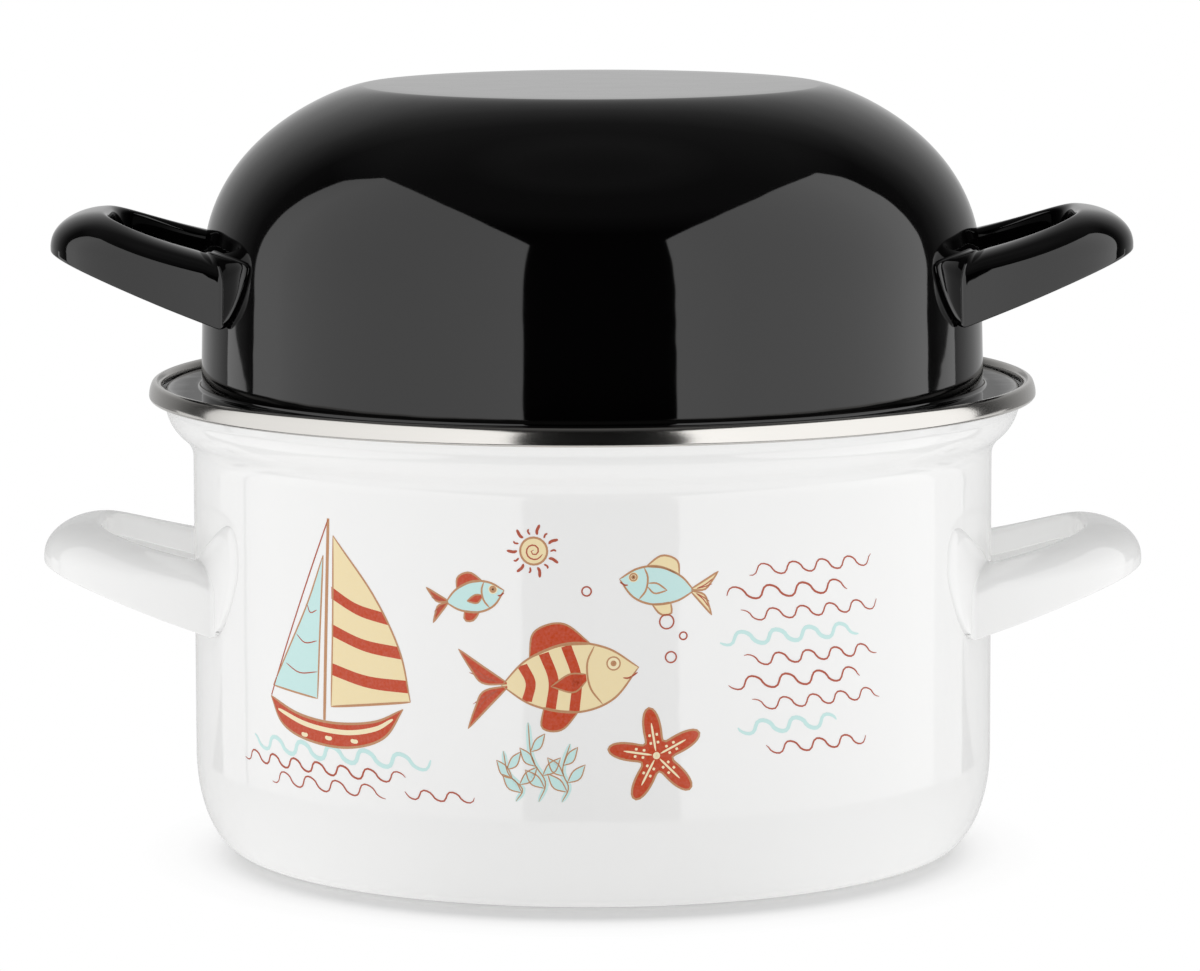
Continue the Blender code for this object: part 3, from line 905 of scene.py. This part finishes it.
def draw_boat(page):
    """A small boat from the side: hull, mast, barred mainsail, foresail with seams, and three portholes."""
    sheer = [(-21.5, 9.8), (-11, 6.6), (1, 5.6), (13, 7), (21, 10.6)]
    keel = [(-21.5, 9.8), (-17, 3.6), (-8, 0.6), (5, 0), (15.5, 3.2), (21, 10.6)]
    page.outlined("red", sheer, keel, 0.6)
    page.stroke("light", [(-18.6, 6.9), (-8, 4.3), (4, 3.6), (13, 5.2), (18.2, 8)], 1.2)
    page.stroke("brown", [(-2.2, 6), (-1.4, 30), (-0.5, 55)], 0.9, ends=0.8)
    main_luff = [(0, 9.5), (0.7, 30), (1, 51)]
    main_leech = [(23, 12.5), (20, 25), (12.6, 38), (1, 51)]
    page.outlined("cream", main_luff, main_leech)
    page.stroke("brown", [(0, 9.5), (11.5, 11), (23, 12.5)], 0.6)
    leech = smooth(main_leech)
    luff = 0.4
    for low, high in ((18.5, 17), (28, 25), (37, 33)):
        under, over = np.interp([high - 2.4, high + 0.6], leech[:, 1], leech[:, 0])
        page.patch("red", [(luff, low - 1.3), (under / 2, (low + high) / 2 - 2.7), (under, high - 2.4)],
                   [(luff, low + 1.6), (over / 2, (low + high) / 2 + 0.2), (over, high + 0.6)])
    jib_luff = [(-4.4, 11), (-3.4, 28), (-2.2, 46)]
    jib_leech = [(-20.5, 12.5), (-14.5, 22), (-7.5, 34), (-2.2, 46)]
    page.outlined("aqua", jib_luff, jib_leech)
    page.stroke("brown", [(-20.5, 12.5), (-12.4, 11.75), (-4.4, 11)], 0.45)
    page.stroke("pen", [(-21.3, 10), (-11, 32), (-0.6, 54.6)], 0.35, ends=0.9)
    for height in (17.5, 25, 32.5):
        left = -19.2 + 0.52 * (height - 12.5)
        page.stroke("pen", [(left + 1.2, height + 1), (left / 2 - 2.2, height - 0.8), (-4.4, height)], 0.3)
    for spot in (-10, -2, 6):
        page.stroke("light", [(spot, 1.9), (spot + 1.1, 1.7), (spot + 2.2, 1.8)], 1.0)


def draw_fish(page, body, fin, bars):
    """A fish that swims right: a body between two curves, a tail and fins, bars, gill, mouth and eye."""
    back = [(-15, 0), (-8, 5.6), (2, 8.4), (11, 6.2), (18, 0.6)]
    belly = [(-15, 0), (-8, -5.4), (2, -8.2), (11, -6.2), (18, 0.6)]
    page.patch(body, back, belly)
    for side in (1, -1):
        page.outlined(fin, [(-13.6, 0.6 * side), (-18.5, 4.6 * side), (-24.5, 9.6 * side)],
                      [(-13.6, 0.2 * side), (-19.5, 1.0 * side), (-22, 4.6 * side), (-24.5, 9.6 * side)])
        for tip in (0.4, 0.7):
            page.stroke("pen", [(-16, side), (-19.5, 2.8 * tip * side + 1.2 * side),
                                (-22.5, 8 * tip * side + 0.6 * side)], 0.25)
    page.outlined(fin, [(-7.5, 5.9), (0, 8), (7.5, 7.6)],
                  [(-7.5, 5.9), (-5.5, 12), (1.5, 13.2), (7.5, 7.6)])
    page.outlined(fin, [(-5.5, -6.2), (-2, -7.4), (2.5, -8.2)],
                  [(-5.5, -6.2), (-6.5, -11), (-2, -12), (2.5, -8.2)])
    for place, half in ((-9.5, 4.4), (-4, 6.7), (1.5, 7.9)):
        page.patch(bars, [(place - 1.1, -half + 0.3), (place + 0.4, 0), (place - 1.1, half - 0.3)],
                   [(place + 1.3, -half - 0.2), (place + 2.8, 0), (place + 1.3, half + 0.2)])
    page.stroke("brown", back, 0.5)
    page.stroke("brown", belly, 0.5)
    page.stroke("brown", [(8.2, 7), (6, 3), (6, -2.6), (8.4, -7)], 0.45)
    page.outlined(fin, [(5.4, 0.6), (1.5, 1), (-3.2, -1.4)], [(5.4, -1), (2, -3.4), (-3.2, -1.4)], 0.4)
    page.stroke("pen", [(17.6, -0.6), (15.4, -1.6), (14, -1.4)], 0.4)
    origin = page.origin
    page.origin = origin + np.array([12.2, 2.3]) @ page.frame
    page.ring("light", 0.8, 1.5)
    page.ring("brown", 1.55, 0.35)
    page.ring("brown", 0.35, 0.7, 6)
    page.origin = origin


def draw_starfish(page):
    """Five arms, as the rim's reach swings with the cosine of five times its turn, and dots along them."""
    turn = np.linspace(0, 2 * pi, 60, endpoint=False) + pi / 2
    reach = 4.2 + 8.4 * ((1 + np.cos(5 * (turn - pi / 2))) / 2) ** 1.5
    rim = reach[:, None] * np.stack([np.cos(turn), np.sin(turn)], -1)
    page.disc("red", rim, 10)
    page.stroke("brown", rim, 0.5, closed=True)
    for arm in np.arange(5) * 2 * pi / 5 + pi / 2:
        way = np.array([cos(arm), sin(arm)])
        page.stroke("light", [way * 1.2, way * 5, way * 8.6], 0.5)
        for share in (3.2, 5.2):
            for side in (-0.24, 0.24):
                spot = share * np.array([cos(arm + side * 4 / share), sin(arm + side * 4 / share)])
                page.stroke("light", [spot, spot + 0.35 * way, spot + 0.7 * way], 0.6, ends=0.6)
    page.ring("light", 0.45, 0.9, 8)


def draw_sun(page):
    """A disc with a spiral on it, whose turn grows with its radius, and rays in two lengths."""
    rim = 5.2 * round_way(36)
    page.disc("cream", rim, 6)
    page.stroke("brown", rim, 0.5, closed=True)
    radius = np.linspace(0.4, 3.6, 16)
    turn = 3.4 * radius
    page.stroke("pen", np.stack([radius * np.cos(turn), radius * np.sin(turn)], -1), 0.35)
    for i, way in enumerate(round_way(14)):
        aside = np.array([-way[1], way[0]])
        far = 10.4 if i % 2 else 8.6
        page.stroke("pen", [way * 6.4, way * 7.8 + aside * 0.5, way * far], 0.7 if i % 2 else 0.45)


def draw_weed(page, height, lean):
    """A stem that sways up to a height and a lean, with leaves on alternate sides that shorten upward."""
    stem = [(0, 0), (1.6, height * 0.25), (-0.6 + lean * 0.4, height * 0.55), (lean, height)]
    page.stroke("aqua", stem, 1.5, ends=0.25)
    page.stroke("brown", stem, 0.3)
    curve = smooth(stem)
    for i, share in enumerate((0.25, 0.42, 0.58, 0.74)):
        x, y = curve[int(share * len(curve))]
        side = 1 if i % 2 else -1
        reach = side * (5.4 - 2.6 * share)
        page.outlined("aqua", [(x, y), (x + 0.35 * reach, y + 2.9), (x + reach, y + 4.4)],
                      [(x, y), (x + 0.7 * reach, y + 1), (x + reach, y + 4.4)], 0.3)


def draw_wave(page, left, right, height, crest, ink, width, phase):
    """One pen line of waves from left to right: a sine, steepened by a smaller one of half its length."""
    u = np.arange(left, right, WAVE_STEP_MM)
    turn = 2 * pi * (u / crest + phase)
    v = height + WAVE_SWING * crest * np.sin(turn) + WAVE_STEEPER * crest * np.sin(2 * turn)
    page.stroke(ink, np.stack([u - WAVE_LEAN * crest * np.sin(2 * turn), v], -1), width)


def draw_print():
    """A sea picture of plain motifs around the pot's front: boat, waves, fish, starfish, weed and sun."""
    page = Print()
    page.at((-68, 37.5))
    draw_boat(page)
    page.at((0, 0))
    for wave in WAVES:
        draw_wave(page, *wave)
    page.at((-7, 57), 1.0, 7)
    draw_fish(page, "cream", "red", "red")
    page.at((16, 79), 0.55, -9, -1)
    draw_fish(page, "aqua", "cream", "cream")
    page.at((-29, 76), 0.45, 12)
    draw_fish(page, "aqua", "red", "cream")
    page.at((15, 38.5), 0.92, 9)
    draw_starfish(page)
    page.at((-14, 87.5), 0.62)
    draw_sun(page)
    for u, height, lean in ((-13, 19, -2.5), (-7.5, 14, 2.0), (-18.5, 12, -3.0)):
        page.at((u, 27.5))
        draw_weed(page, height, lean)
    for u, v, size in ((18.5, 62, 1.3), (21.5, 67, 0.9), (17.5, 70.5, 1.7), (-1.5, 78, 1.1)):
        page.at((u, v))
        page.ring("pen", size, 0.35)
    page.pieces()


# Studio: two tall soft lights with a lower wing each, as the lid mirrors them. Their corners are given
# along the light and up, and their glow from near the camera to far behind
PANEL_DISTANCE = 0.70
PANEL_TURN = radians(68)
PANEL_FOOT = -0.45
LEFT_PANEL = ((0.815, PANEL_FOOT), (0.80, 0.745), (-0.46, 1.18), (-0.62, 1.00), (-0.72, PANEL_FOOT))
RIGHT_PANEL = ((-0.70, PANEL_FOOT), (-0.70, 0.767), (0.62, 1.20), (0.68, 1.05), (0.62, PANEL_FOOT))
WING_TOP = 0.03
LEFT_WING = ((-0.73, PANEL_FOOT), (-0.73, WING_TOP), (-1.40, WING_TOP), (-1.40, PANEL_FOOT))
RIGHT_WING = ((0.63, PANEL_FOOT), (0.63, WING_TOP), (1.30, WING_TOP), (1.30, PANEL_FOOT))
LEFT_GLOW = ((0.0, 1.55), (0.5, 1.32), (0.8, 1.2), (1.0, 0.85))
RIGHT_GLOW = ((0.0, 1.7), (0.3, 1.55), (0.8, 1.53), (1.0, 1.35))
WING_GLOW = ((0.0, 1.0), (1.0, 0.9))
BRIGHTEST = 2.0
PANEL_NEAR = -1.02
PANEL_FAR = 0.42

# Dim cards behind the flange's two ends
REAR_SHADE_BACK = 0.2
REAR_SHADE_ASIDE = 0.0905
REAR_SHADE_HEIGHT = 0.142
REAR_SHADE_WIDE = 0.033
REAR_SHADE_HIGH = 0.0135
REAR_SHADE_GLOW = 0.28
REAR_SHADE_EDGE = 2.2

# What mirrors see behind the object and overhead, and the fill that the matt share of every surface gets
BACKDROP_GLOW = ((0.0, 0.0), (0.5, 0.03), (0.59, 0.08), (0.67, 0.15), (0.72, 0.22), (0.77, 0.27),
                 (0.84, 0.34), (0.955, 0.49), (1.0, 0.65))
OVERHEAD_GLOW = ((0.64, 0.0), (0.8, 0.055), (0.92, 0.06), (0.97, 0.1), (1.0, 0.09))
FILL = 1.07
FILL_SIDES = 0.54
FILL_OVERHEAD = 0.55
MEAN_SIDE = 0.42

# Table: its edge in front and behind, its own white, and its glow: for light that bounces, in mirrors, and
# along the seam under the pot's front edge
TABLE_FRONT = 0.192
TABLE_BACK = 0.85
TABLE_DROP = 0.0002
TABLE_RINGS = 8
TABLE_TURN = 0.42
TABLE_EASE = 0.25
TABLE_WHITE = 0.85
BOUNCE_LIFT = 0.25
BOUNCE_SIDES = 0.20
BOUNCE_START = 0.03
BOUNCE_END = 0.12
MIRROR_LIFT = 0.3
SEAM_LIFT = 0.09
SEAM_RADIUS = 0.094
SEAM_WIDTH = 0.005

# The shade round the pot's foot, by the distance from a place a little in front of the frame's middle
SHADE_START = 0.0905
SHADE_END = 0.132
SHADE_FADE = ((0.06, 0.0), (0.10, 0.18), (0.145, 0.35), (0.195, 0.57), (0.253, 0.73), (0.325, 0.83),
              (0.4, 0.92), (0.66, 1.0))
SHADE_FORWARD = 0.008
SHADE_NARROWER = 1.04


def stage_piece(name, points, faces):
    """A mesh that belongs to the studio, with the nodes of its own material."""
    mesh = bpy.data.meshes.new(name)
    mesh.from_pydata(points, [], faces)
    mesh.materials.append(bpy.data.materials.new(name))
    piece = add_object(name, mesh)
    return piece, Finish(mesh.materials[0])


def mirrors_only(piece):
    """Show a piece in mirrors alone: the camera doesn't see it, and it neither lights nor shades."""
    piece.visible_camera = False
    piece.visible_diffuse = False
    piece.visible_shadow = False


def light_panel(name, turn, corners, glow):
    """A flat soft light on end, its corners given along the panel and up, brightest near the camera."""
    normal = np.array([sin(turn), -cos(turn), 0])
    along = np.array([cos(turn), sin(turn), 0])
    points = [(PANEL_DISTANCE * normal + a * along + [0, 0, h]).tolist() for a, h in corners]
    panel, finish = stage_piece(name, points, [tuple(range(len(points)))])
    mirrors_only(panel)
    depth = (finish.parts(finish.place())[1] - PANEL_NEAR) / (PANEL_FAR - PANEL_NEAR)
    stops = [(place, level / BRIGHTEST) for place, level in glow]
    strength = finish.ramp(depth, *stops) * BRIGHTEST
    finish.surface(finish.node("Emission", {}, {"Strength": strength}))


def rear_shade(name, side):
    """A small dim card behind one end of the lid's flange, which mirrors it, fading out in an ellipse."""
    middle = side * REAR_SHADE_ASIDE
    corners = ((-1, -1), (1, -1), (1, 1), (-1, 1))
    points = [(middle + a * REAR_SHADE_WIDE, REAR_SHADE_BACK, REAR_SHADE_HEIGHT + b * REAR_SHADE_HIGH)
              for a, b in corners]
    card, finish = stage_piece(name, points, [(0, 1, 2, 3)])
    mirrors_only(card)
    x, _, z = finish.parts(finish.place())
    out = ((x - middle) / REAR_SHADE_WIDE) ** 2.0 + ((z - REAR_SHADE_HEIGHT) / REAR_SHADE_HIGH) ** 2.0
    share = ((1 - out) * REAR_SHADE_EDGE).clipped()
    clear = finish.node("BsdfTransparent")
    glow = finish.node("Emission", {}, {"Strength": REAR_SHADE_GLOW})
    finish.surface(finish.node("MixShader", {}, {"Fac": share, 1: clear, 2: glow}))


def studio_light():
    """White behind for the camera, a glow behind and overhead in mirrors, and a soft fill elsewhere.

    The fill weakens upward and grows to both sides, about a level that it keeps on the whole."""
    world = bpy.data.worlds.new("studio")
    bpy.context.scene.world = world
    finish = Finish(world)
    x, y, z = finish.parts(finish.node("TexCoord", output="Generated"))
    mirrored = finish.ramp(y, *BACKDROP_GLOW) + finish.ramp(z, *OVERHEAD_GLOW)
    camera, glossy, through = finish.rays("Camera", "Glossy", "Transmission")
    level = finish.ramp(z, (0.0, 1.0), (1.0, FILL_OVERHEAD))
    sides = (x * x) ** 0.5
    fill = level * (1 + sides * FILL_SIDES) * (FILL / (1 + FILL_SIDES * MEAN_SIDE))
    light = mirrored * glossy + (1 - glossy) * fill
    seen = (camera + through).clipped()
    strength = seen + (1 - seen) * light
    finish.feed(finish.tree.nodes["Background"], {"Color": (1, 1, 1, 1), "Strength": strength})


def table_top():
    """A pale table top, rounded in front and running on behind: matt, and white away from the object.

    Its reach is the front radius, and grows to the back one, by a cubic that eases in and out, where the
    direction turns backward. Only the camera sees the white. The matt part glows faintly under the body's
    front edge, for light on its way to matt surfaces, more so at the sides, and in mirrors in front."""
    way = round_way(TURN_STEPS)
    back = np.clip((way[:, 1] - TABLE_TURN) / TABLE_EASE, 0, 1)
    reach = TABLE_FRONT + (TABLE_BACK - TABLE_FRONT) * back * back * (3 - 2 * back)
    radius = np.outer(reach, np.linspace(0, 1, TABLE_RINGS + 1)[1:])
    points = np.concatenate([radius[..., None] * way[:, None],
                             np.full((*radius.shape, 1), -TABLE_DROP)], -1)
    here = np.arange(TURN_STEPS) * TABLE_RINGS
    fan = np.stack([np.full(TURN_STEPS, radius.size), here, np.roll(here, -1)], -1)
    faces = grid_faces(TURN_STEPS, TABLE_RINGS, wrap_rows=True).tolist() + fan.tolist()
    points = points.reshape(-1, 3).tolist() + [[0, 0, -TABLE_DROP]]
    finish = stage_piece("table_top", points, faces)[1]
    x, y, _ = finish.parts(finish.place())
    distance = ((x * SHADE_NARROWER) ** 2.0 + (y + SHADE_FORWARD) ** 2.0) ** 0.5
    far = finish.ramp((distance - SHADE_START) / (SHADE_END - SHADE_START), *SHADE_FADE)
    camera, diffuse, glossy = finish.rays("Camera", "Diffuse", "Glossy")
    matt = finish.node("BsdfDiffuse", {}, {"Color": (TABLE_WHITE, TABLE_WHITE, TABLE_WHITE, 1)})
    front = (y / -SEAM_RADIUS).clipped()
    under = ((SEAM_RADIUS - (x * x + y * y) ** 0.5) / SEAM_WIDTH).clipped() * front
    sides = (((x * x) ** 0.5 - BOUNCE_START) / (BOUNCE_END - BOUNCE_START)).clipped()
    bounce = diffuse * (sides * BOUNCE_SIDES + BOUNCE_LIFT)
    mirrored = glossy * front * MIRROR_LIFT
    lift = finish.node("Emission", {}, {"Strength": under * SEAM_LIFT + bounce + mirrored})
    near = finish.node("AddShader", {}, {0: matt, 1: lift})
    white = finish.node("Emission", {}, {"Strength": 1.0})
    finish.surface(finish.node("MixShader", {}, {"Fac": far * camera, 1: near, 2: white}))


def photo_camera():
    """A long lens in front and above, tilted down, with the photograph's slight turn and roll."""
    data = bpy.data.cameras.new("camera")
    data.lens = CAMERA_LENS
    data.clip_start = CAMERA_NEAREST
    data.clip_end = CAMERA_FARTHEST
    camera = add_object("camera", data)
    camera.matrix_world = (Matrix.Translation((0, -CAMERA_DISTANCE, CAMERA_HEIGHT))
                           @ Matrix.Rotation(CAMERA_YAW, 4, "Z")
                           @ Matrix.Rotation(pi / 2 - CAMERA_PITCH, 4, "X")
                           @ Matrix.Rotation(CAMERA_ROLL, 4, "Z"))
    bpy.context.scene.camera = camera


def build_pieces():
    """The pot, its band, the lid and the four loop handles, each in place of its node."""
    white = white_enamel()
    black = black_enamel()
    steel = band_steel()
    make_piece("pot_shell", turned_shell("pot_shell", pot_outline()),
               white, "pot", "pot_body")
    make_piece("rolled_band", turned_ring("rolled_band", band_outline()),
               steel, "pot", "rim_band")
    make_piece("lid_dome", turned_shell("lid_dome", lid_outline()),
               black, "lid", "lid_shell")
    lid_height = LID_LOW.z + LID_LIP + LID_HANDLE_HEIGHT
    ends = (("left", -1, POT_LEFT_HANDLE_HEIGHT), ("right", 1, POT_RIGHT_HANDLE_HEIGHT))
    for end, side, pot_height in ends:
        loop_handle("pot_loop_" + end, side, pot_height, POT_HANDLE_SLOPE, pot_wall_at, POT_FOOT,
                    white, "pot", "pot_handle_" + end)
        loop_handle("lid_loop_" + end, side, lid_height, LID_HANDLE_SLOPE, lid_wall_at, LID_FOOT,
                    black, "lid", "lid_handle_" + end)


photo_camera()
studio_light()
for edge, turn, panel, wing, glow in (("left", -PANEL_TURN, LEFT_PANEL, LEFT_WING, LEFT_GLOW),
                                      ("right", PANEL_TURN, RIGHT_PANEL, RIGHT_WING, RIGHT_GLOW)):
    light_panel(edge + "_panel", turn, panel, glow)
    light_panel(edge + "_wing", turn, wing, WING_GLOW)
rear_shade("left_rear_shade", -1)
rear_shade("right_rear_shade", 1)
table_top()
build_pieces()
draw_print()
bpy.context.scene.view_settings.view_transform = "Standard"
